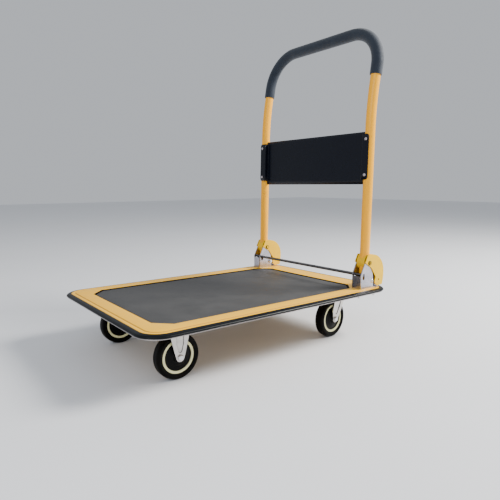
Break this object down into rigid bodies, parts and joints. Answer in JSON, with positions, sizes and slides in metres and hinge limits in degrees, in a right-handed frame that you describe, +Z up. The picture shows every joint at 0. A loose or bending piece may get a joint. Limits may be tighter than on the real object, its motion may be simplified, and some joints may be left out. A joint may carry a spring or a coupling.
{
  "type": "folding platform cart",
  "caption": "Flat steel platform on fixed and swivelling casters, with a U-shaped push handle that folds down over the deck.",
  "frame": {"origin": "on the floor under the centre of the outline", "axes": "+Z up, +X along the deck towards the handle end, +Y to the right-hand side seen from the handle"},
  "size_m": [0.72, 0.5, 0.8209],
  "materials": {
    "deck_paint": "satin yellow paint",
    "tube_paint": "satin orange-yellow paint",
    "mat": "ribbed matt rubber",
    "bumper": "matt",
    "zinc": "zinc plated",
    "fastener": "zinc plated",
    "bar_steel": "dull grey steel",
    "cam_plastic": "lemon yellow",
    "panel_paint": "satin black paint",
    "foam": "soft closed-cell foam",
    "tyre": "matt",
    "core": "cream",
    "hub_black": "black",
    "trim": "satin",
    "bush": "natural nylon"
  },
  "bodies": {
    "platform": {"deck_pan": "deck_paint", "deck_mat": "mat", "edge_bumper": "bumper", "deck_stiffener_left": "deck_paint", "deck_stiffener_right": "deck_paint", "hinge_bracket_left": "zinc", "hinge_bracket_right": "zinc", "bracket_bolts": "fastener", "bracket_nuts": "fastener", "pivot_pin_left": "fastener", "pivot_pin_right": "fastener", "caster_studs": "fastener", "caster_nuts": "fastener", "fixed_fork_left": "zinc", "fixed_fork_right": "zinc", "axle_front_left": "fastener", "axle_front_right": "fastener", "axle_nuts_front": "fastener", "swivel_plate_left": "zinc", "swivel_plate_right": "zinc", "kingpin_left": "fastener", "kingpin_right": "fastener", "release_spring_left": "bar_steel", "release_spring_right": "bar_steel", "bumper_trim": "trim", "tie_bolts": "fastener", "tie_nuts": "fastener"},
    "handle": {"handle_tube": "tube_paint", "handle_grip": "foam", "back_panel": "panel_paint", "panel_screws": "fastener", "hinge_cam_left": "cam_plastic", "hinge_cam_right": "cam_plastic"},
    "release_bar": {"release_bar": "bar_steel"},
    "swivel_left": {"swivel_fork_left": "zinc", "swivel_balls_left": "bar_steel", "axle_rear_left": "fastener", "axle_nut_rear_left": "fastener"},
    "wheel_front_left": {"tyre_front_left": "tyre", "wheel_core_front_left": "core", "hub_cover_front_left": "hub_black", "axle_bush_front_left": "bush"},
    "wheel_rear_left": {"tyre_rear_left": "tyre", "wheel_core_rear_left": "core", "hub_cover_rear_left": "hub_black", "axle_bush_rear_left": "bush"},
    "swivel_right": {"swivel_fork_right": "zinc", "swivel_balls_right": "bar_steel", "axle_rear_right": "fastener", "axle_nut_rear_right": "fastener"},
    "wheel_front_right": {"tyre_front_right": "tyre", "wheel_core_front_right": "core", "hub_cover_front_right": "hub_black", "axle_bush_front_right": "bush"},
    "wheel_rear_right": {"tyre_rear_right": "tyre", "wheel_core_rear_right": "core", "hub_cover_rear_right": "hub_black", "axle_bush_rear_right": "bush"}
  },
  "joints": [
    {"name": "handle_fold", "type": "hinge", "parent": "platform", "child": "handle", "pos_m": [0.29078, 0, 0.202], "axis": [0, -1, 0], "range_deg": [0, 90]},
    {"name": "release_press", "type": "slide", "parent": "platform", "child": "release_bar", "axis": [0, 0, -1], "range_m": [0, 0.008], "stiffness_N_per_m": 500, "springref_m": -0.01, "deforming": ["release_spring_left", "release_spring_right"]},
    {"name": "caster_swivel_left", "type": "hinge", "parent": "platform", "child": "swivel_left", "pos_m": [0.2475, -0.15, 0.1], "axis": [0, 0, 1], "continuous": true},
    {"name": "wheel_spin_front_left", "type": "hinge", "parent": "platform", "child": "wheel_front_left", "pos_m": [-0.245, -0.15, 0.05], "axis": [0, 1, 0], "continuous": true},
    {"name": "wheel_spin_rear_left", "type": "hinge", "parent": "swivel_left", "child": "wheel_rear_left", "pos_m": [0.22364, -0.15259, 0.05], "axis": [-0.108, 0.9942, 0], "continuous": true},
    {"name": "caster_swivel_right", "type": "hinge", "parent": "platform", "child": "swivel_right", "pos_m": [0.2475, 0.15, 0.1], "axis": [0, 0, 1], "continuous": true},
    {"name": "wheel_spin_front_right", "type": "hinge", "parent": "platform", "child": "wheel_front_right", "pos_m": [-0.245, 0.15, 0.05], "axis": [0, 1, 0], "continuous": true},
    {"name": "wheel_spin_rear_right", "type": "hinge", "parent": "swivel_right", "child": "wheel_rear_right", "pos_m": [0.22364, 0.14741, 0.05], "axis": [-0.108, 0.9942, 0], "continuous": true}
  ]
}
